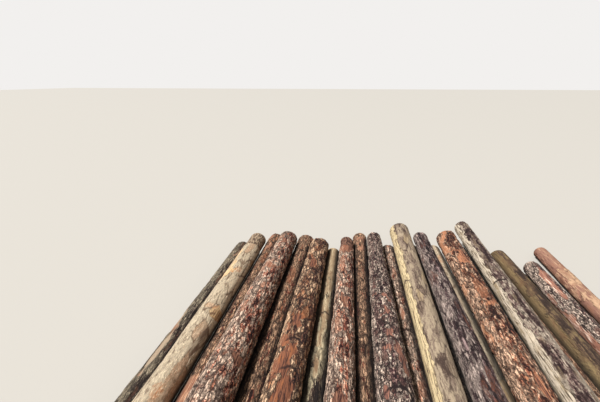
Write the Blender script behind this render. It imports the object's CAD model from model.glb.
from math import atan2, hypot, pi, radians
from types import SimpleNamespace

import bmesh
import bpy
import numpy as np
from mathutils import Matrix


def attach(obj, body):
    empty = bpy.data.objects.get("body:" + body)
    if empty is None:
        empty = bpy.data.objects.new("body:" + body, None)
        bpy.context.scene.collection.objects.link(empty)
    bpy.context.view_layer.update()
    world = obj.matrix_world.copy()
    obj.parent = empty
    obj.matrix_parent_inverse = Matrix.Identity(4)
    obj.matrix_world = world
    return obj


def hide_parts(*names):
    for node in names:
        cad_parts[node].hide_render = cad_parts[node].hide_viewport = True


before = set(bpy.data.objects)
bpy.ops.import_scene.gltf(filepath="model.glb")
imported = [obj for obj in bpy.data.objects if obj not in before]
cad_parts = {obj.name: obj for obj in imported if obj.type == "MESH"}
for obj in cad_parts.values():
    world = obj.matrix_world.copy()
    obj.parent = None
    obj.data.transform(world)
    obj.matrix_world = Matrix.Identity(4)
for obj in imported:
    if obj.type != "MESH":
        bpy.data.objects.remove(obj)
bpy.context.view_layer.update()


def addNode(tree, kind, settings=None):    # a socket given as a value is linked, any other value is set
    node = tree.nodes.new(kind)
    for name, value in (settings or {}).items():
        if isinstance(value, bpy.types.NodeSocket):
            tree.links.new(value, node.inputs[name])
        elif isinstance(name, int) or name in node.inputs:
            node.inputs[name].default_value = value
        else:
            setattr(node, name, value)
    return node


def colour(hexCode):    # sRGB hex to the linear values Blender works in
    parts = [int(hexCode[n:n + 2], 16) / 255 for n in (1, 3, 5)]
    return [p / 12.92 if p <= 0.04045 else ((p + 0.055) / 1.055) ** 2.4 for p in parts] + [1]


def setRamp(node, stops):
    ramp = node.color_ramp
    while len(ramp.elements) < len(stops):
        ramp.elements.new(0.5)
    for element, (place, value) in zip(ramp.elements, stops):
        element.position = place
        element.color = value


# what each finish looks like: bark colours from crack to flake, then the cork under it and bare wood
# chip is the size of a bark chip in mm, stretch its width for its length, streaky the share of fibres
# in place of chips, cracked how dark the rims of chips are, lift how far all tones move to pale, and
# patchy the contrast of large blots; tip is the dark and the pale of a bare back end
finishes = {
    "paleTanBark": {    # thin smooth bark: warm cream tan with fine dark nicks and a few orange rubs
        "crack": "#7a5a42", "low": "#d8af8a", "mid": "#f6d1a7", "high": "#ffdfb6", "flake": "#ffe9c6",
        "inner": "#cf8450", "wood": "#e2c090", "stain": "#a37c58", "rough": 0.86,
        "chip": 36, "stretch": 0.3, "streaky": 0.25, "cracked": 0.45, "lift": 0.2, "patchy": 0.28,
        "tip": ("#5d4a3c", "#b39c80"),
    },
    "flakyRedBark": {    # loose bark: pink brown flakes, bleached edges and black gaps, rough from afar
        "crack": "#2a0f0c", "low": "#7b3a2d", "mid": "#de8468", "high": "#fdb28c", "flake": "#ffdcc0",
        "inner": "#9e5f42", "wood": "#966850", "stain": "#553229", "rough": 0.88,
        "chip": 62, "stretch": 0.26, "streaky": 0.08, "cracked": 0.8, "lift": 0.062, "patchy": 0.85,
        "tip": ("#4c3027", "#8f6853"),
    },
    "plateRedBark": {    # old plated bark: broad rust brown sheets with dark gaps between them
        "crack": "#2c1612", "low": "#694134", "mid": "#8f5f4a", "high": "#c18860", "flake": "#f6caa2",
        "inner": "#a9663c", "wood": "#8d583d", "stain": "#5a362a", "rough": 0.85,
        "chip": 80, "stretch": 0.34, "streaky": 0.12, "cracked": 0.85, "lift": 0.04, "patchy": 0.6,
    },
    "darkScalyBark": {    # crusty small scales: purple grey with chalky flecks and rust where they dropped
        "crack": "#271617", "low": "#603f42", "mid": "#8e6662", "high": "#c29b8a", "flake": "#ffe3cc",
        "inner": "#86594a", "wood": "#a8735c", "stain": "#543c3c", "rough": 0.9,
        "chip": 52, "stretch": 0.42, "streaky": 0.05, "cracked": 0.9, "lift": 0.03, "patchy": 0.42,
    },
    "greyFissuredBark": {    # long furrows: dull grey ridges over dark brown grooves
        "crack": "#221713", "low": "#43332c", "mid": "#52413a", "high": "#6b594b", "flake": "#b8a78c",
        "inner": "#8f5a3f", "wood": "#ab937a", "stain": "#574640", "rough": 0.9,
        "chip": 50, "stretch": 0.16, "streaky": 0.3, "cracked": 0.7, "lift": -0.02, "patchy": 0.55,
    },
    "brownFissuredBark": {    # long furrows: red brown, half in shade between its neighbours
        "crack": "#200d08", "low": "#54271d", "mid": "#8d4838", "high": "#ae6c4f", "flake": "#dcae8a",
        "inner": "#a0603a", "wood": "#92634d", "stain": "#4f3128", "rough": 0.9,
        "chip": 55, "stretch": 0.22, "streaky": 0.2, "cracked": 0.8, "lift": 0.01, "patchy": 0.6,
    },
    "greyBrownBark": {    # tight mauve grey bark: low contrast with short pale scuffs
        "crack": "#201213", "low": "#43302e", "mid": "#624648", "high": "#715d5b", "flake": "#c6b0a3",
        "inner": "#945a42", "wood": "#a38984", "stain": "#553f40", "rough": 0.88,
        "chip": 60, "stretch": 0.22, "streaky": 0.15, "cracked": 0.6, "lift": -0.03, "patchy": 0.3,
    },
    "orangeRedBark": {    # scales rubbed down to the cork: orange tan over dark red cracks
        "crack": "#28110d", "low": "#5a3027", "mid": "#94523c", "high": "#cb8661", "flake": "#ffd0ac",
        "inner": "#ad7352", "wood": "#b97d59", "stain": "#663f37", "rough": 0.87,
        "chip": 64, "stretch": 0.25, "streaky": 0.12, "cracked": 0.8, "lift": -0.006, "patchy": 0.55,
    },
    "peelingGreyBark": {    # bark strips off a bleached log: mauve brown next to grey white wood
        "crack": "#2a1815", "low": "#4a3432", "mid": "#69504b", "high": "#96796e", "flake": "#d2bfa8",
        "inner": "#a58f6e", "wood": "#dccbb3", "stain": "#84745f", "rough": 0.84,
        "chip": 80, "stretch": 0.28, "streaky": 0.35, "cracked": 0.5, "lift": -0.015, "patchy": 0.6,
    },
    "weatheredWood": {    # sun bleached wood: a cream strip beside grey brown skin
        "crack": "#4a382f", "low": "#7e6957", "mid": "#897464", "high": "#97836f", "flake": "#b7a287",
        "inner": "#cdb184", "wood": "#e8d1a2", "stain": "#a58d6c", "rough": 0.8,
        "chip": 120, "stretch": 0.25, "streaky": 0.35, "cracked": 0.25, "lift": 0.005, "patchy": 0.09,
    },
    "oliveWood": {    # wet old wood: dull olive under a dark skin
        "crack": "#35261d", "low": "#443328", "mid": "#5a4337", "high": "#735b43", "flake": "#988059",
        "inner": "#74553a", "wood": "#7a6444", "stain": "#433128", "rough": 0.82,
        "chip": 110, "stretch": 0.25, "streaky": 0.5, "cracked": 0.35, "lift": -0.025, "patchy": 0.4,
    },
    "peelingOliveBark": {    # half peeled log: yellow grey wood behind, dark flaps in front
        "crack": "#1e1310", "low": "#37281f", "mid": "#4e3a2f", "high": "#85705c", "flake": "#e2cfa8",
        "inner": "#7c5d42", "wood": "#a38868", "stain": "#4e3c30", "rough": 0.84,
        "chip": 110, "stretch": 0.25, "streaky": 0.35, "cracked": 0.5, "lift": -0.05, "patchy": 0.6,
    },
    "pinkPeeledWood": {    # freshly peeled wood: even pink tan with faint brown mottles
        "crack": "#5f3b31", "low": "#93644e", "mid": "#9a6a55", "high": "#b68770", "flake": "#d6ae8a",
        "inner": "#a5745a", "wood": "#976d5a", "stain": "#8a6051", "rough": 0.8,
        "chip": 120, "stretch": 0.3, "streaky": 0.6, "cracked": 0.25, "lift": -0.02, "patchy": 0.4,
    },
}

# noises in the bark: stretch along the log, size of the largest blots in mm, detail, roughness
barkNoises = {
    "blots": (0.3, 110, 4, 0.60),      # patches about as long as a hand
    "flecks": (0.3, 17, 5, 0.75),      # flakes about as wide as a thumb
    "grains": (0.3, 8, 4, 0.80),       # crumbs of bark
    "swells": (0.3, 30, 3, 0.60),      # soft unevenness
    "streaks": (0.05, 13, 5, 0.70),    # wood fibres, drawn coarse to show
    "ragged": (1.0, 45, 4, 0.66),      # what frays the rims of the chips
}
barkMasks = ("barkOn", "tint", "shed", "worn", "pale", "depth", "tipShade", "sheltered")

# what the bark patterns do: how far each moves the tone, and how high each stands in the bump
barkPattern = {
    "fray": (0.055, 0.17, 0.055),      # how far the chips' rims are bent, in metres
    "crumbSize": 0.5,                  # share of a chip
    "chipTone": 0.30, "crumbTone": 0.30, "fleckTone": 0.40, "grainTone": 0.35, "plateTone": 0.15,
    "paleTone": 0.13, "rimTone": 0.08, "toneShift": -0.055, "bleachTone": 0.12, "bleachShift": -0.02,
    "speckle": 0.8,
    "swellRise": 1.1, "grainRise": 0.3, "chipRise": 0.7, "crumbRise": 0.4, "crackRise": -0.9,
    "fibreRise": 0.45,
    "bumpHeight": 0.023,               # metres
}
barkStops = [
    (0.40, "crack"), (0.42, "low"), (0.445, "low"), (0.46, "mid"), (0.482, "mid"), (0.502, "high"),
    (0.526, "high"), (0.548, "flake"),
]
woodStops = [(0.35, "crack"), (0.43, "stain"), (0.49, "wood"), (0.61, "wood"), (0.72, "flake")]
crevice = "#150d0a"    # damp and dirt between the logs


def chipPattern(tree, look, place, noise):    # frayed chips of two sizes, with cracks between them
    ragged = noise["ragged"].node.outputs["Color"]
    bent = addNode(tree, "ShaderNodeVectorMath", {
        "operation": "MULTIPLY_ADD", 0: ragged, 1: barkPattern["fray"], 2: place}).outputs[0]
    chipPlace = addNode(tree, "ShaderNodeMapping", {
        "Scale": (1, look["stretch"], 1), "Vector": bent}).outputs[0]
    parted = addNode(tree, "ShaderNodeMapRange", {
        "interpolation_type": "SMOOTHSTEP",
        0: noise["blots"], 1: 0.34, 2: 0.48, 4: look["cracked"]}).outputs[0]
    patterns = {    # size in mm, how far a crack reaches in from the rim, and how dark it is
        "chips": (look["chip"], 0.15, parted),
        "crumbs": (look["chip"] * barkPattern["crumbSize"], 0.13, 0.75 * look["cracked"]),
    }
    cells, rims, gaps = {}, {}, {}
    for label, (size, reach, dark) in patterns.items():
        pattern = {"Scale": 1000 / size, "Vector": chipPlace}
        cells[label] = addNode(tree, "ShaderNodeTexVoronoi", pattern).outputs["Color"]
        rim = addNode(tree, "ShaderNodeTexVoronoi", {"feature": "DISTANCE_TO_EDGE", **pattern})
        rims[label] = rim.outputs["Distance"]
        gaps[label] = addNode(tree, "ShaderNodeMapRange", {
            "interpolation_type": "SMOOTHSTEP",
            0: rims[label], 1: 0.03, 2: reach, 3: dark, 4: 0.0}).outputs[0]
    cracks = addNode(tree, "ShaderNodeMath", {
        "operation": "MAXIMUM", 0: gaps["chips"], 1: gaps["crumbs"]}).outputs[0]
    rimLight = addNode(tree, "ShaderNodeMapRange", {
        0: rims["chips"], 1: 0.12, 2: 0.30, 3: 1.0, 4: 0.0}).outputs[0]
    return cells, cracks, rimLight


def barkColour(tree, look, mask, noise, cells, rimLight):
    # every chip has its own tone, broken up by flecks; thin bark and wood run in streaks instead
    chipped = 1 - look["streaky"]
    plated = barkPattern["plateTone"] * look["cracked"]
    tones = [
        (cells["chips"], barkPattern["chipTone"] * chipped),
        (cells["crumbs"], barkPattern["crumbTone"] * chipped),
        (noise["flecks"], barkPattern["fleckTone"] * chipped),
        (noise["streaks"], look["streaky"]),
        (noise["blots"], look["patchy"]),
        (noise["grains"], barkPattern["grainTone"]),
        (mask["tint"], plated),
        (mask["pale"], barkPattern["paleTone"]),
        (rimLight, barkPattern["rimTone"]),
    ]
    centred = 0.5 * (look["patchy"] + barkPattern["grainTone"] + plated)    # half of what these three add
    tone = look["lift"] - centred + barkPattern["toneShift"]
    for source, weight in tones:
        tone = addNode(tree, "ShaderNodeMath", {
            "operation": "MULTIPLY_ADD", 0: source, 1: weight, 2: tone}).outputs[0]
    ramp = addNode(tree, "ShaderNodeValToRGB", {0: tone})
    setRamp(ramp, [(at, colour(look[shade])) for at, shade in barkStops])
    return ramp.outputs[0]


def woodColour(tree, look, mask, noise):    # fibres, paler on the weathered side
    bleached = addNode(tree, "ShaderNodeMath", {
        "operation": "MULTIPLY_ADD",
        0: mask["pale"], 1: barkPattern["bleachTone"], 2: barkPattern["bleachShift"]}).outputs[0]
    fibre = addNode(tree, "ShaderNodeMath", {"operation": "ADD", 0: bleached, 1: noise["streaks"]}).outputs[0]
    ramp = addNode(tree, "ShaderNodeValToRGB", {0: fibre})
    setRamp(ramp, [(at, colour(look[shade])) for at, shade in woodStops])
    return ramp.outputs[0]


def paintOver(tree, paints):    # each paint is a base colour and the layers that lie over it
    painted = {}
    for label, (base, layers) in paints.items():
        shade = painted[base] if isinstance(base, str) else base
        for source, low, high, atLow, atHigh, over in layers:
            share = addNode(tree, "ShaderNodeMapRange", {
                "interpolation_type": "SMOOTHSTEP",
                0: source, 1: low, 2: high, 3: atLow, 4: atHigh}).outputs[0]
            over = painted[over] if isinstance(over, str) else over
            shade = addNode(tree, "ShaderNodeMix", {
                "data_type": "RGBA", 0: share, 6: shade, 7: over}).outputs[2]
        painted[label] = shade
    return painted


def fineRelief(tree, look, mask, noise, cells, cracks):
    # chips, crumbs and swells on bark, fibres on bare wood
    rises = [
        (noise["swells"], barkPattern["swellRise"]),
        (noise["grains"], barkPattern["grainRise"]),
        (cells["chips"], barkPattern["chipRise"] * look["cracked"]),
        (cells["crumbs"], barkPattern["crumbRise"] * look["cracked"]),
        (cracks, barkPattern["crackRise"]),
    ]
    barkRise = 0.0
    for source, weight in rises:
        barkRise = addNode(tree, "ShaderNodeMath", {
            "operation": "MULTIPLY_ADD", 0: source, 1: weight, 2: barkRise}).outputs[0]
    woodRise = addNode(tree, "ShaderNodeMath", {
        "operation": "MULTIPLY", 0: noise["streaks"], 1: barkPattern["fibreRise"]}).outputs[0]
    height = addNode(tree, "ShaderNodeMix", {
        "data_type": "FLOAT", 0: mask["barkOn"], 2: woodRise, 3: barkRise}).outputs[0]
    return addNode(tree, "ShaderNodeBump", {
        "Strength": 1.0, "Distance": barkPattern["bumpHeight"], "Height": height}).outputs[0]


def barkMaterial(name, look):
    material = bpy.data.materials.new(name)
    material.use_nodes = True
    tree = material.node_tree
    tree.nodes.clear()
    place = addNode(tree, "ShaderNodeTexCoord").outputs["Object"]
    mask, noise = {}, {}
    for label in barkMasks:
        mask[label] = addNode(tree, "ShaderNodeAttribute", {"attribute_name": label}).outputs["Fac"]
    for label, (stretch, size, detail, rough) in barkNoises.items():
        drawn = addNode(tree, "ShaderNodeMapping", {"Scale": (1, stretch, 1), "Vector": place}).outputs[0]
        noise[label] = addNode(tree, "ShaderNodeTexNoise", {
            "Scale": 1000 / size, "Detail": detail, "Roughness": rough, "Vector": drawn}).outputs["Fac"]
    cells, cracks, rimLight = chipPattern(tree, look, place, noise)
    bark = barkColour(tree, look, mask, noise, cells, rimLight)
    wood = woodColour(tree, look, mask, noise)
    speckle = barkPattern["speckle"]
    specks = addNode(tree, "ShaderNodeMath", {
        "operation": "MULTIPLY_ADD", 0: noise["grains"], 1: speckle, 2: -speckle / 2}).outputs[0]
    specks = addNode(tree, "ShaderNodeMath", {"operation": "ADD", 0: specks, 1: noise["flecks"]}).outputs[0]
    tip = look.get("tip", (look["stain"], look["inner"]))    # only a bare back end shows it
    tipDark, tipPale = (colour(shade) for shade in tip)

    # layers: what drives one, from, to, share at from, share at to, colour
    painted = paintOver(tree, {
        "inner": (colour(look["inner"]), [
            (specks, 0.50, 0.62, 0, 1, colour(look["high"])),
            (noise["blots"], 0.42, 0.55, 0.8, 0, colour(look["low"])),
        ]),
        "bark": (bark, [
            (mask["shed"], 0, 1, 0, 0.55, "inner"),
            (cracks, 0, 1, 0, 1, colour(look["crack"])),
        ]),
        "tip": (tipDark, [
            (noise["swells"], 0.46, 0.54, 0, 1, tipPale),
            (specks, 0.40, 0.46, 0.7, 0, colour(look["crack"])),
        ]),
        "wood": (wood, [
            (noise["blots"], 0.52, 0.66, 0, 0.7, colour(look["inner"])),
            (specks, 0.60, 0.68, 0, 0.7, colour(look["stain"])),
            (mask["tipShade"], 0, 1, 0, 1, "tip"),
        ]),
        "rubbed": (colour(look["inner"]), [
            (specks, 0.46, 0.58, 0, 1, colour(look["high"])),
        ]),
        "surface": ("wood", [
            (mask["barkOn"], 0, 1, 0, 1, "bark"),
            (mask["worn"], 0, 1, 0, 0.55, "rubbed"),
            (mask["depth"], 0, 1, 0, 0.92, colour(look["crack"])),
            (mask["sheltered"], 0, 1, 0, 0.9, colour(crevice)),
        ]),
    })
    shader = addNode(tree, "ShaderNodeBsdfPrincipled", {
        "Roughness": look["rough"], "IOR": 1.45, "Base Color": painted["surface"],
        "Normal": fineRelief(tree, look, mask, noise, cells, cracks)})
    addNode(tree, "ShaderNodeOutputMaterial", {0: shader.outputs[0]})
    return material


# weathered sawn end grain: pale sapwood round a redder heart, growth rings and dark drying checks
endGrain = {
    "heart": "#8d5a3b", "ripeWood": "#a9714a", "sapwood": "#cda673", "outerWood": "#d8b88a",
    "rim": "#4d3428", "lateWood": "#c99f7a", "dirt": "#6f5e50", "check": "#2a1a12",
    "ringWidth": 8, "ringWobble": 30,    # mm
    "wobbles": 9, "dirtBlots": 38,       # to a metre
    "dirtShare": 0.6, "rough": 0.78,
    "bumpHeight": 0.003,                 # metres
}
endStops = [(0.10, "heart"), (0.62, "ripeWood"), (0.72, "sapwood"), (0.97, "outerWood"), (0.995, "rim")]


def sawnEndMaterial(name, look):
    material = bpy.data.materials.new(name)
    material.use_nodes = True
    tree = material.node_tree
    tree.nodes.clear()
    place = addNode(tree, "ShaderNodeTexCoord").outputs["Object"]
    mask = {}
    for label in ("ringPlace", "ringShare", "depth"):
        mask[label] = addNode(tree, "ShaderNodeAttribute", {"attribute_name": label}).outputs["Fac"]
    wobble = addNode(tree, "ShaderNodeTexNoise", {
        "Scale": look["wobbles"], "Detail": 3, "Vector": place}).outputs["Fac"]
    dirt = addNode(tree, "ShaderNodeTexNoise", {
        "Scale": look["dirtBlots"], "Detail": 6, "Roughness": 0.7, "Vector": place}).outputs["Fac"]
    shifted = addNode(tree, "ShaderNodeMath", {
        "operation": "MULTIPLY_ADD",
        0: wobble, 1: look["ringWobble"] / 1000, 2: mask["ringPlace"]}).outputs[0]
    ringTurns = addNode(tree, "ShaderNodeMath", {
        "operation": "MULTIPLY", 0: shifted, 1: 2 * pi / (look["ringWidth"] / 1000)}).outputs[0]
    wave = addNode(tree, "ShaderNodeMath", {"operation": "SINE", 0: ringTurns}).outputs[0]
    rings = addNode(tree, "ShaderNodeMapRange", {0: wave, 1: -1.0, 2: 1.0}).outputs[0]
    zone = addNode(tree, "ShaderNodeMath", {
        "operation": "MULTIPLY_ADD", 0: dirt, 1: 0.12, 2: mask["ringShare"]}).outputs[0]
    wood = addNode(tree, "ShaderNodeValToRGB", {0: zone})
    setRamp(wood, [(at, colour(look[shade])) for at, shade in endStops])
    ringed = addNode(tree, "ShaderNodeMix", {
        "data_type": "RGBA", "blend_type": "MULTIPLY",
        0: rings, 6: wood.outputs[0], 7: colour(look["lateWood"])}).outputs[2]
    dirty = addNode(tree, "ShaderNodeMapRange", {0: dirt, 1: 0.45, 2: 0.75, 4: look["dirtShare"]}).outputs[0]
    greyed = addNode(tree, "ShaderNodeMix", {
        "data_type": "RGBA", 0: dirty, 6: ringed, 7: colour(look["dirt"])}).outputs[2]
    checked = addNode(tree, "ShaderNodeMix", {
        "data_type": "RGBA", 0: mask["depth"], 6: greyed, 7: colour(look["check"])}).outputs[2]
    bump = addNode(tree, "ShaderNodeBump", {
        "Strength": 0.5, "Distance": look["bumpHeight"], "Height": dirt}).outputs[0]
    shader = addNode(tree, "ShaderNodeBsdfPrincipled", {
        "Roughness": look["rough"], "IOR": 1.45, "Base Color": checked, "Normal": bump})
    addNode(tree, "ShaderNodeOutputMaterial", {0: shader.outputs[0]})
    return material


def smooth(value):
    value = np.clip(value, 0, 1)
    return value * value * (3 - 2 * value)


def softNoise(seed, turns, runs, around, along):    # 0 to 1, closes round the log
    grid = np.random.default_rng(seed).random((along + 2, around))
    a = turns * around
    b = np.clip(runs, 0, 1) * along
    i = np.floor(a).astype(int)
    j = np.floor(b).astype(int)
    partA = smooth(a - i)
    partB = smooth(b - j)
    low = grid[j, i % around] * (1 - partA) + grid[j, (i + 1) % around] * partA
    high = grid[j + 1, i % around] * (1 - partA) + grid[j + 1, (i + 1) % around] * partA
    return low * (1 - partB) + high * partB


def roughNoise(seed, turns, runs, around, along, layers):    # finer and weaker layers on top of one another
    total, weight, share = 0, 0, 1
    for layer in range(layers):
        finer = 2 ** layer
        total = total + share * softNoise(seed + 17 * layer, turns, runs, around * finer, along * finer)
        weight += share
        share *= 0.55
    return total / weight


def barkCells(seed, turns, runs, around, along):    # gap to the next plate, and a value for each plate
    spots = np.random.default_rng(seed).random((along + 6, around, 3))
    a = turns * around
    b = runs * along + 2
    i = np.floor(a).astype(int)
    j = np.floor(b).astype(int)
    nearest, second, value = np.full(a.shape, 9.0), np.full(a.shape, 9.0), np.zeros(a.shape)
    for stepA in (-1, 0, 1):
        for stepB in (-1, 0, 1):
            row = np.clip(j + stepB, 0, along + 5)
            spot = spots[row, (i + stepA) % around]
            away = np.hypot(i + stepA + spot[..., 0] - a, row + spot[..., 1] - b)
            closer = away < nearest
            second = np.where(closer, nearest, np.minimum(second, away))
            value = np.where(closer, spot[..., 2], value)
            nearest = np.where(closer, away, nearest)
    return second - nearest, value


def readLog(node):    # the rings of corners that the CAD log runs through
    corners = np.empty(len(node.data.vertices) * 3, np.float32)
    node.data.vertices.foreach_get("co", corners)
    corners = np.unique(np.round(corners.reshape(-1, 3).astype(float), 5), axis=0)
    corners = corners[np.argsort(corners[:, 1])]
    jumps = np.diff(corners[:, 1]) > 0.009    # metres; rings are 15 mm apart or more
    rings = np.split(corners, np.nonzero(jumps)[0] + 1)
    middles = np.array([(ring.min(axis=0) + ring.max(axis=0)) / 2 for ring in rings])
    slopes = np.gradient(middles[:, [0, 2]], middles[:, 1], axis=0)
    outlines = []
    for ring, middle, slope in zip(rings, middles, slopes):
        lift = (ring[:, 1] - middle[1])[:, None] * slope
        across = ring[:, [0, 2]] - middle[[0, 2]] - lift
        angles = np.arctan2(across[:, 1], across[:, 0])
        order = np.argsort(angles)
        outlines.append((angles[order], np.hypot(across[:, 0], across[:, 1])[order], ring[order, 1]))
    return middles, outlines


# mesh of a log of each tier: faces round it and along it, and how close a neighbour darkens it, in metres
tiers = {
    "top": {"around": 108, "along": 270, "shelter": 0.12},
    "ground": {"around": 80, "along": 180, "shelter": 0.14},
}


def tierOf(name):    # top or ground
    return name.split("_")[0]


def barkTube(around, along):    # a unit tube with rings of faces on its sawn ends
    bm = bmesh.new()
    bmesh.ops.create_cone(bm, cap_ends=True, cap_tris=False, segments=around, radius1=1, radius2=1, depth=1)
    runs = [e for e in bm.edges if abs(e.verts[0].co.z - e.verts[1].co.z) > 0.5]
    bmesh.ops.subdivide_edges(bm, edges=runs, cuts=along - 1, use_grid_fill=False)
    for inset in (0.035, 0.055, 0.2, 0.24, 0.24):
        ends = [f for f in bm.faces if len(f.verts) > 4]
        bmesh.ops.inset_region(bm, faces=ends, thickness=inset, use_even_offset=True)
    bmesh.ops.poke(bm, faces=[f for f in bm.faces if len(f.verts) > 4])
    for face in bm.faces:
        face.material_index = 1 if abs(face.normal.z) > 0.5 else 0
        face.smooth = True
    tube = bpy.data.meshes.new("barkTube")
    bm.to_mesh(tube)
    bm.free()
    return tube


def shelter(name, x, y, z):    # 1 where another log or the ground is close, 0 further off
    clear = z    # metres above the ground
    for other, (middles, outlines) in readings.items():
        if other != name:
            wide = [ring[1].mean() for ring in outlines]
            middleX = np.interp(y, middles[:, 1], middles[:, 0])
            middleZ = np.interp(y, middles[:, 1], middles[:, 2])
            apart = np.hypot(x - middleX, z - middleZ) - np.interp(y, middles[:, 1], wide)
            beside = (y > middles[0, 1]) & (y < middles[-1, 1])
            clear = np.where(beside, np.minimum(clear, apart), clear)
    return smooth(1 - clear / tiers[tierOf(name)]["shelter"])


def layOut(name, tube):    # every vertex of a tube on the surface of its CAD log, with no relief yet
    middles, outlines = readings[name]
    unit = np.empty(len(tube.vertices) * 3, np.float32)
    tube.vertices.foreach_get("co", unit)
    unit = unit.reshape(-1, 3).astype(float)
    angle = np.arctan2(unit[:, 1], -unit[:, 0])
    runs = np.clip(unit[:, 2] + 0.5, 0, 1)
    share = np.minimum(np.hypot(unit[:, 0], unit[:, 1]), 1)    # 1 on the bark, 0 at the heart
    tops = np.array([np.interp(angle, ring[0], ring[1], period=2 * pi) for ring in outlines])

    # the CAD steps down to a bare end on a slope of 15 mm; here that step is drawn with a ragged edge
    ringY = middles[:, 1]
    gaps = np.diff(ringY)
    bareFrom = 9.0    # metres, far behind the stack
    if gaps.min() < 0.05:    # only that slope has its rings so close
        edge = int(gaps.argmin())
        bareFrom = ringY[edge]
        tops[edge + 1:] += tops[edge].mean() - tops[edge + 1].mean()
    startY = np.interp(angle, outlines[0][0], outlines[0][2], period=2 * pi)
    endY = np.interp(angle, outlines[-1][0], outlines[-1][2], period=2 * pi)
    startY = startY * share + ringY[0] * (1 - share)
    endY = endY * share + ringY[-1] * (1 - share)
    y = startY + (endY - startY) * runs
    k = np.clip(np.searchsorted(ringY, y) - 1, 0, len(ringY) - 2)
    part = (y - ringY[k]) / (ringY[k + 1] - ringY[k])
    every = np.arange(len(y))
    return SimpleNamespace(
        angle=angle, runs=runs, share=share, onEnd=share < 0.999, y=y, bareFrom=bareFrom,
        turns=(angle / (2 * pi) + 0.25) % 1,
        radius=tops[k, every] * (1 - part) + tops[k + 1, every] * part,
        middleX=middles[k, 0] * (1 - part) + middles[k + 1, 0] * part,
        middleZ=middles[k, 2] * (1 - part) + middles[k + 1, 2] * part,
        length=(ringY[-1] - ringY[0]) * 1000, girth=2 * pi * tops.mean() * 1000, thick=tops.mean(),
    )


# how each kind of surface is built up, in mm; shed is the share of plates that have dropped
surfaces = {
    "thickPlates": {
        "plateWide": 95, "plateLong": 150, "sheetStep": 9, "plateStep": 9, "crackDepth": 14, "scaleStep": 5,
        "shed": 0.30, "fissure": 7, "lump": 11, "barkThick": 20, "checks": 3,
    },
    "smallScales": {
        "plateWide": 60, "plateLong": 75, "sheetStep": 6, "plateStep": 8, "crackDepth": 12, "scaleStep": 5,
        "shed": 0.18, "fissure": 5, "lump": 11, "barkThick": 18, "checks": 3,
    },
    "longFissures": {
        "plateWide": 45, "plateLong": 330, "sheetStep": 5, "plateStep": 6, "crackDepth": 11, "scaleStep": 4,
        "shed": 0.12, "fissure": 9, "lump": 9, "barkThick": 16, "checks": 3,
    },
    "thinBark": {
        "plateWide": 110, "plateLong": 420, "sheetStep": 2, "plateStep": 3, "crackDepth": 4, "scaleStep": 2,
        "shed": 0.16, "fissure": 2, "lump": 9, "barkThick": 8, "checks": 3,
    },
    "peeled": {
        "plateWide": 70, "plateLong": 200, "sheetStep": 3, "plateStep": 4, "crackDepth": 7, "scaleStep": 3,
        "shed": 0.20, "fissure": 5, "lump": 9, "barkThick": 13, "checks": 4,
    },
}

# noises in the relief: step of the seed, cells round the log, cells along it, layers
reliefNoises = {
    "bendAcross": (1, 5, 18, 4),      # plates wander round the log
    "bendAlong": (2, 6, 22, 4),       # and along it
    "bendSheets": (15, 9, 60, 3),     # frays the large sheets
    "ridges": (5, 16, 14, 3),         # furrows between ridges
    "crackGroups": (6, 6, 20, 2),     # cracks open here and there
    "lumps": (7, 5, 12, 3),           # the log's own unevenness
    "barkHold": (8, 4, 11, 5),        # where bark holds longest
    "tipEdge": (9, 7, 60, 3),         # frays the bark at a bare end
    "breakEdge": (16, 12, 50, 4),     # frays an arched break
    "markEdge": (10, 9, 40, 3),       # frays a mark
    "checkGroups": (12, 5, 10, 2),    # drying checks open here and there
}
# relief that all logs share, in mm
relief = {
    "breakDepth": 10, "breakWidth": 24, "breakEdge": 8, "breakFray": 70, "sunkDepth": 13, "sunkLength": 170,
    "knotRise": 7, "knotRing": 4, "proud": 3, "roundedRim": 20, "bareStep": 17, "tipFray": 50, "tipSlope": 12,
    "splitDepth": 12,
}
# how far plates and sheets wander, in turns or lengths, and how wide or sharp edges and marks come out
reliefEdges = {
    "swayAcross": 0.05, "swayAlong": 0.018, "swaySheets": 0.04, "crackWidth": 0.17, "checkWidth": 0.05,
    "fissureSharp": 24, "shedEdge": 0.02, "barkEdge": 0.018, "markFray": 0.9, "markEdge": 0.12,
}


def reliefNoise(label, seed, turns, runs):
    step, around, along, layers = reliefNoises[label]
    return roughNoise(seed + step, turns, runs, around, along, layers)


def markBreak(found, trunk, seed, side, run, tall):    # bark behind an arched break lies lower
    fray = relief["breakFray"] * (reliefNoise("breakEdge", seed, trunk.turns, trunk.runs) - 0.5)
    behind = (trunk.runs - run) * trunk.length + tall * side ** 2 + fray
    inside = smooth((1.05 - np.abs(side)) / 0.15)
    line = smooth(1.3 - np.abs(behind - relief["breakEdge"]) / relief["breakWidth"])
    fade = np.exp(-np.maximum(behind, 0) / relief["sunkLength"])
    found.broken = np.maximum(found.broken, inside * line)
    found.sunk = np.maximum(found.sunk, inside * smooth(behind / relief["breakEdge"] + 0.5) * fade)


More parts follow.
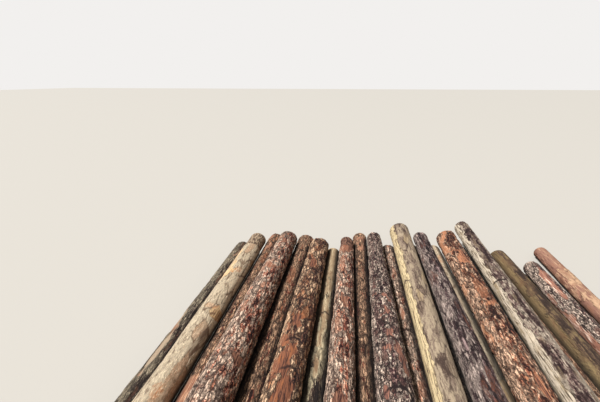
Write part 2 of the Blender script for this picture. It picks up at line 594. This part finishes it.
def markLog(marks, trunk, barkOn, seed):    # where bark is gone, kept or worn, and the knots and breaks
    found = SimpleNamespace(barkOn=barkOn)
    found.worn, found.knots, found.knotRings, found.broken, found.sunk = np.zeros((5, len(barkOn)))
    for kind, turn, run, wide, tall in marks:
        side = ((trunk.turns - turn + 0.5) % 1 - 0.5) * trunk.girth / (wide / 2)
        if kind == "edge":
            markBreak(found, trunk, seed, side, run, tall)
            continue
        far = np.hypot(side, (trunk.runs - run) * trunk.length / (tall / 2))
        fray = reliefEdges["markFray"] * (reliefNoise("markEdge", seed, trunk.turns, trunk.runs) - 0.5)
        spot = smooth((1 - far + fray) / reliefEdges["markEdge"])
        if kind == "bare":
            found.barkOn = found.barkOn * (1 - spot)
        if kind == "bark":
            found.barkOn = np.maximum(found.barkOn, spot)
        if kind == "worn":
            found.worn = np.maximum(found.worn, spot)
        if kind == "knot":
            found.knots = np.maximum(found.knots, np.exp(-far ** 2))
            found.knotRings = np.maximum(found.knotRings, np.exp(-((far - 1.1) / 0.22) ** 2))
    return found


def plateLog(trunk, shape, seed, across, along):    # plates, scales, sheets, furrows and cracks of the bark
    turns, runs = trunk.turns, trunk.runs
    sway = reliefEdges["swaySheets"] * (reliefNoise("bendSheets", seed, turns, runs) - 0.5)
    plateAround = max(3, round(trunk.girth / shape["plateWide"]))
    plateAlong = max(3, round(trunk.length / shape["plateLong"]))
    gap, plate = barkCells(seed + 3, across, along, plateAround, plateAlong)
    grouped = smooth(reliefNoise("crackGroups", seed, turns, runs) * 2.4 - 0.5)
    ridges = np.abs(reliefNoise("ridges", seed, across, along) - 0.5)
    return SimpleNamespace(
        plate=plate,
        scale=barkCells(seed + 4, across, along, plateAround * 2, plateAlong * 3)[1],
        sheet=barkCells(seed + 14, across + sway, along, 2, 9)[1],
        crack=smooth(1 - gap / reliefEdges["crackWidth"]) * grouped,
        fissure=smooth(1 - ridges * reliefEdges["fissureSharp"]),
        shed=smooth((shape["shed"] - plate) / reliefEdges["shedEdge"] + 0.5),
    )


def carveLog(trunk, look, seed):    # depth below the CAD in mm, and what the materials read
    shape = surfaces[look["surface"]]
    turns, runs = trunk.turns, trunk.runs
    across = turns + reliefEdges["swayAcross"] * (reliefNoise("bendAcross", seed, turns, runs) - 0.5)
    along = runs + reliefEdges["swayAlong"] * (reliefNoise("bendAlong", seed, turns, runs) - 0.5)
    bark = plateLog(trunk, shape, seed, across, along)
    checkGap = barkCells(seed + 11, across, along, 16, 5)[0]
    grouped = reliefNoise("checkGroups", seed, turns, runs) > 0.52
    checks = smooth(1 - checkGap / reliefEdges["checkWidth"]) * grouped
    lumps = reliefNoise("lumps", seed, turns, runs) - 0.5

    # where bark is left, from the front share to the back share, with a ragged edge
    hold = reliefNoise("barkHold", seed, across, along)
    low, high = (np.quantile(hold, 1 - value) for value in look["bark"])
    barkOn = smooth((hold - (low + (high - low) * runs)) / reliefEdges["barkEdge"] + 0.5)
    ragged = relief["tipFray"] / 1000 * (reliefNoise("tipEdge", seed, turns, runs) - 0.5)
    offTip = smooth((trunk.y - trunk.bareFrom + ragged) / (relief["tipSlope"] / 1000))
    found = markLog(look["marks"], trunk, barkOn * (1 - offTip), seed)
    barkOn = found.barkOn

    flaked = 0.6 * (1 - bark.plate) + bark.shed
    cracked = np.maximum(bark.crack, found.worn * 0.5)
    barkDrop = shape["sheetStep"] * (1 - bark.sheet) + shape["plateStep"] * flaked
    barkDrop += shape["scaleStep"] * (1 - bark.scale) + shape["crackDepth"] * cracked
    barkDrop += (
        shape["fissure"] * bark.fissure
        + relief["sunkDepth"] * found.sunk + relief["breakDepth"] * found.broken)
    barkDrop = np.minimum(barkDrop, shape["barkThick"])    # no crack goes deeper than the wood
    woodDrop = shape["barkThick"] + shape["checks"] * checks
    woodDrop += offTip * max(0, relief["bareStep"] - shape["barkThick"])
    drop = barkDrop * barkOn + woodDrop * (1 - barkOn) - shape["lump"] * lumps
    drop = drop - relief["knotRise"] * found.knots + relief["knotRing"] * found.knotRings
    rim = smooth(1 - np.minimum(runs, 1 - runs) * trunk.length / relief["roundedRim"])
    drop = np.maximum(drop, -relief["proud"]) + relief["proud"] * rim
    gaping = np.maximum(barkOn * np.maximum(bark.crack, 0.75 * bark.fissure), (1 - barkOn) * checks)
    masks = {
        "barkOn": barkOn, "tint": 0.55 * bark.plate + 0.45 * bark.scale, "shed": bark.shed * barkOn,
        "worn": found.worn, "pale": smooth(np.cos(2 * pi * (turns - look["paleSide"])) * 1.6 - 0.5),
        "depth": gaping * (1 - 0.5 * bark.shed) + found.knotRings * 0.7 + found.broken, "tipShade": offTip,
    }
    return drop, masks


def splitEnds(trunk, seed):    # drying checks that run out from the heart on the sawn ends
    split = np.zeros(len(trunk.turns))
    for ray, reach, wide in np.random.default_rng(seed + 13).random((6, 3)):
        offRay = np.abs((trunk.turns - ray + 0.5) % 1 - 0.5) * 2 * pi * trunk.share
        inReach = smooth((0.35 + 0.6 * reach - trunk.share) * 8)
        split = np.maximum(split, smooth(1 - offRay / (0.02 + 0.03 * wide)) * inReach)
    return split * trunk.onEnd


def dressLog(name, look, seed, tube, materials):
    mesh = tube.copy()
    mesh.name = name + "_bark"
    trunk = layOut(name, tube)
    drop, masks = carveLog(trunk, look, seed)
    split = splitEnds(trunk, seed)
    radius = (trunk.radius - drop / 1000) * trunk.share
    x = trunk.middleX + radius * np.cos(trunk.angle)
    y = trunk.y + np.where(trunk.runs < 0.5, 1, -1) * relief["splitDepth"] / 1000 * split
    z = trunk.middleZ + radius * np.sin(trunk.angle)
    mesh.vertices.foreach_set("co", np.stack([x, y, z], axis=1).astype(np.float32).ravel())
    masks["depth"] = np.where(trunk.onEnd, split, masks["depth"])
    masks["sheltered"] = shelter(name, x, y, z)
    masks["ringPlace"] = trunk.share * trunk.thick
    masks["ringShare"] = trunk.share
    for label, values in masks.items():
        layer = mesh.attributes.new(label, "FLOAT", "POINT")
        layer.data.foreach_set("value", np.clip(values, 0, 1).astype(np.float32))
    for material in materials:
        mesh.materials.append(material)
    mesh.set_sharp_from_angle(angle=radians(34))    # keeps rims and breaks crisp
    log = bpy.data.objects.new(name + "_bark", mesh)
    bpy.context.scene.collection.objects.link(log)
    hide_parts(name)
    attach(log, "root")


# the logs: share of bark left at the front and at the back, weathered side in turns from the underside
# (0.25 right, 0.5 top, 0.75 left), and marks, each with its place in turns and as a share of the length,
# then its width and its length in mm; an edge is an arched break in the bark, and its length the arch's rise
logs = {
    "top_log_01": {
        "finish": "paleTanBark", "surface": "thinBark", "slot": "tan_bark",
        "bark": (0.93, 0.96), "paleSide": 0.70,
        "marks": [
            ("worn", 0.47, 0.56, 230, 120), ("knot", 0.56, 0.40, 60, 60), ("worn", 0.44, 0.31, 160, 240),
            ("worn", 0.42, 0.74, 120, 200),
        ],
    },
    "top_log_02": {
        "finish": "flakyRedBark", "surface": "smallScales", "slot": "red_bark",
        "bark": (0.86, 0.94), "paleSide": 0.66,
        "marks": [
            ("worn", 0.56, 0.52, 110, 300), ("knot", 0.48, 0.36, 70, 60), ("worn", 0.47, 0.62, 120, 200),
            ("bare", 0.62, 0.40, 60, 420),
        ],
    },
    "top_log_03": {
        "finish": "plateRedBark", "surface": "thickPlates", "slot": "red_bark",
        "bark": (0.78, 0.94), "paleSide": 0.74,
        "marks": [
            ("bare", 0.47, 0.35, 260, 540), ("worn", 0.43, 0.58, 120, 300),
            ("edge", 0.49, 0.485, 300, 60), ("edge", 0.46, 0.405, 280, 50), ("edge", 0.50, 0.63, 330, 40),
            ("edge", 0.48, 0.78, 330, 50),
        ],
    },
    "top_log_04": {
        "finish": "flakyRedBark", "surface": "smallScales", "slot": "red_bark",
        "bark": (0.93, 0.90), "paleSide": 0.72,
        "marks": [
            ("worn", 0.57, 0.80, 150, 700), ("worn", 0.58, 0.50, 90, 500),
            ("bare", 0.50, 0.275, 150, 260), ("edge", 0.47, 0.55, 200, 40),
        ],
    },
    "top_log_05": {
        "finish": "darkScalyBark", "surface": "thickPlates", "slot": "dark_bark",
        "bark": (0.90, 0.96), "paleSide": 0.80,
        "marks": [
            ("edge", 0.49, 0.265, 420, 110), ("bare", 0.60, 0.255, 90, 200), ("worn", 0.50, 0.78, 50, 60),
            ("worn", 0.48, 0.575, 45, 60), ("worn", 0.58, 0.345, 90, 200), ("edge", 0.52, 0.40, 300, 30),
        ],
    },
    "top_log_06": {
        "finish": "weatheredWood", "surface": "thinBark", "slot": "pale_wood",
        "bark": (1.0, 1.0), "paleSide": 0.28,
        "marks": [
            ("bare", 0.71, 0.50, 260, 14000), ("knot", 0.50, 0.36, 60, 60), ("knot", 0.60, 0.80, 50, 60),
        ],
    },
    "top_log_07": {
        "finish": "greyBrownBark", "surface": "longFissures", "slot": "grey_bark",
        "bark": (0.88, 0.92), "paleSide": 0.74,
        "marks": [
            ("worn", 0.46, 0.30, 110, 500), ("edge", 0.53, 0.46, 160, 30), ("bare", 0.58, 0.40, 45, 260),
        ],
    },
    "top_log_08": {
        "finish": "orangeRedBark", "surface": "smallScales", "slot": "red_bark",
        "bark": (0.82, 0.74), "paleSide": 0.74,
        "marks": [
            ("worn", 0.52, 0.62, 190, 700), ("knot", 0.50, 0.73, 70, 70), ("edge", 0.53, 0.50, 220, 40),
            ("bare", 0.48, 0.30, 90, 340), ("worn", 0.40, 0.45, 60, 600),
        ],
    },
    "top_log_09": {
        "finish": "peelingGreyBark", "surface": "peeled", "slot": "pale_wood",
        "bark": (1.0, 0.99), "paleSide": 0.30,
        "marks": [
            ("bare", 0.745, 0.42, 320, 14000), ("knot", 0.55, 0.40, 70, 70),
            ("edge", 0.58, 0.565, 320, 30),
        ],
    },
    "ground_log_01": {
        "finish": "greyFissuredBark", "surface": "longFissures", "slot": "grey_bark",
        "bark": (0.80, 0.88), "paleSide": 0.62,
        "marks": [
            ("bare", 0.56, 0.45, 120, 900),
        ],
    },
    "ground_log_02": {
        "finish": "brownFissuredBark", "surface": "smallScales", "slot": "grey_bark",
        "bark": (0.88, 0.92), "paleSide": 0.55,
        "marks": [
            ("worn", 0.48, 0.80, 140, 500),
        ],
    },
    "ground_log_03": {
        "finish": "brownFissuredBark", "surface": "longFissures", "slot": "red_bark",
        "bark": (0.90, 0.80), "paleSide": 0.55,
        "marks": [
            ("worn", 0.50, 0.70, 140, 700),
        ],
    },
    "ground_log_04": {
        "finish": "peelingOliveBark", "surface": "peeled", "slot": "olive_wood",
        "bark": (0.98, 0.05), "paleSide": 0.55,
        "marks": [
            ("bark", 0.44, 0.50, 110, 800), ("bark", 0.48, 0.36, 170, 420), ("bare", 0.51, 0.43, 80, 330),
            ("bark", 0.54, 0.57, 70, 320), ("bark", 0.43, 0.68, 60, 500), ("bark", 0.50, 0.79, 40, 180),
            ("edge", 0.49, 0.62, 200, 60), ("knot", 0.49, 0.70, 60, 60),
        ],
    },
    "ground_log_05": {
        "finish": "brownFissuredBark", "surface": "longFissures", "slot": "dark_bark",
        "bark": (0.92, 0.92), "paleSide": 0.55,
        "marks": [],
    },
    "ground_log_06": {
        "finish": "flakyRedBark", "surface": "smallScales", "slot": "red_bark",
        "bark": (0.90, 0.86), "paleSide": 0.54,
        "marks": [
            ("worn", 0.50, 0.80, 120, 300), ("edge", 0.50, 0.53, 220, 30), ("bare", 0.52, 0.60, 90, 360),
            ("worn", 0.47, 0.36, 140, 260),
        ],
    },
    "ground_log_07": {
        "finish": "darkScalyBark", "surface": "smallScales", "slot": "dark_bark",
        "bark": (0.90, 0.90), "paleSide": 0.50,
        "marks": [],
    },
    "ground_log_08": {
        "finish": "paleTanBark", "surface": "thinBark", "slot": "tan_bark",
        "bark": (0.70, 0.80), "paleSide": 0.50,
        "marks": [
            ("worn", 0.50, 0.90, 160, 300),
        ],
    },
    "ground_log_09": {
        "finish": "greyFissuredBark", "surface": "smallScales", "slot": "grey_bark",
        "bark": (0.90, 0.90), "paleSide": 0.50,
        "marks": [],
    },
    "ground_log_10": {
        "finish": "brownFissuredBark", "surface": "smallScales", "slot": "dark_bark",
        "bark": (0.90, 0.90), "paleSide": 0.50,
        "marks": [],
    },
    "ground_log_11": {
        "finish": "oliveWood", "surface": "thinBark", "slot": "olive_wood",
        "bark": (0.30, 0.40), "paleSide": 0.76,
        "marks": [
            ("bark", 0.50, 0.55, 270, 14000), ("knot", 0.55, 0.80, 60, 60),
        ],
    },
    "ground_log_12": {
        "finish": "darkScalyBark", "surface": "longFissures", "slot": "grey_bark",
        "bark": (0.85, 0.85), "paleSide": 0.68,
        "marks": [
            ("bare", 0.55, 0.86, 150, 900), ("worn", 0.54, 0.62, 120, 700),
        ],
    },
    "ground_log_13": {
        "finish": "pinkPeeledWood", "surface": "peeled", "slot": "pink_wood",
        "bark": (0.40, 0.30), "paleSide": 0.50,
        "marks": [
            ("knot", 0.52, 0.70, 70, 70), ("knot", 0.42, 0.45, 60, 60),
        ],
    },
}

readings = {name: readLog(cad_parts[name]) for name in logs}
print("logs read:", len(readings))
tubes = {tier: barkTube(fine["around"], fine["along"]) for tier, fine in tiers.items()}
sawnEnd = sawnEndMaterial("sawnEndGrain", endGrain)
barks = {name: barkMaterial(name, look) for name, look in finishes.items()}
print("finishes made:", len(barks) + 1)
for place, (name, look) in enumerate(logs.items()):
    seed = 1000 * (place + 1)    # far enough apart for every log to have bark of its own
    dressLog(name, look, seed, tubes[tierOf(name)], [barks[look["finish"]], sawnEnd])
for tube in tubes.values():
    bpy.data.meshes.remove(tube)
print("logs dressed:", len(logs))

# a plain pale floor
studio = {
    "floorSize": 300, "floorColour": "#c4bfb6", "floorBounce": "#4c453f", "floorRough": 0.9,
    "sky": "#f2f0ee", "skyFill": 0.34,
}
bm = bmesh.new()
bmesh.ops.create_grid(bm, x_segments=1, y_segments=1, size=studio["floorSize"] / 2)
floorMesh = bpy.data.meshes.new("floor")
bm.to_mesh(floorMesh)
bm.free()
floor = bpy.data.objects.new("floor", floorMesh)
bpy.context.scene.collection.objects.link(floor)
paint = bpy.data.materials.new("mattFloorPaint")    # pale to the eye, dark for what it throws back up
paint.use_nodes = True
tree = paint.node_tree
seen = addNode(tree, "ShaderNodeLightPath").outputs["Is Camera Ray"]
shade = addNode(tree, "ShaderNodeMix", {
    "data_type": "RGBA", 0: seen, 6: colour(studio["floorBounce"]), 7: colour(studio["floorColour"])})
shader = tree.nodes["Principled BSDF"]
shader.inputs["Roughness"].default_value = studio["floorRough"]
tree.links.new(shade.outputs[2], shader.inputs["Base Color"])
floorMesh.materials.append(paint)

# soft light like a bright cloudy sky, strongest from the upper left
cloudLight = {"from": (-0.50, 0.0, 0.866), "soft": 11, "strength": 4.2}
lightData = bpy.data.lights.new("cloudLight", "SUN")
lightData.angle = radians(cloudLight["soft"])
lightData.energy = cloudLight["strength"]
light = bpy.data.objects.new("cloudLight", lightData)
bpy.context.scene.collection.objects.link(light)
x, y, z = cloudLight["from"]
light.rotation_euler = (atan2(hypot(x, y), z), 0, atan2(y, x) + pi / 2)

world = bpy.data.worlds.new("paleSky")
bpy.context.scene.world = world
world.use_nodes = True
tree = world.node_tree
tree.nodes.clear()
seen = addNode(tree, "ShaderNodeLightPath").outputs["Is Camera Ray"]
strength = addNode(tree, "ShaderNodeMapRange", {0: seen, 3: studio["skyFill"], 4: 1.0}).outputs[0]
sky = addNode(tree, "ShaderNodeBackground", {"Color": colour(studio["sky"]), "Strength": strength})
addNode(tree, "ShaderNodeOutputWorld", {0: sky.outputs[0]})
print("floor and lights placed")

# the view from above the front of the stack, on its left
view = {"at": (-1.09, -3.99, 4.10), "down": 22.0, "left": 8.79, "lens": 18}
cameraData = bpy.data.cameras.new("camera")
cameraData.lens = view["lens"]
cameraData.sensor_width = 36
camera = bpy.data.objects.new("camera", cameraData)
bpy.context.scene.collection.objects.link(camera)
camera.location = view["at"]
camera.rotation_euler = (radians(90 - view["down"]), 0, radians(view["left"]))
bpy.context.scene.camera = camera
bpy.context.scene.view_settings.view_transform = "Standard"
print("camera placed")
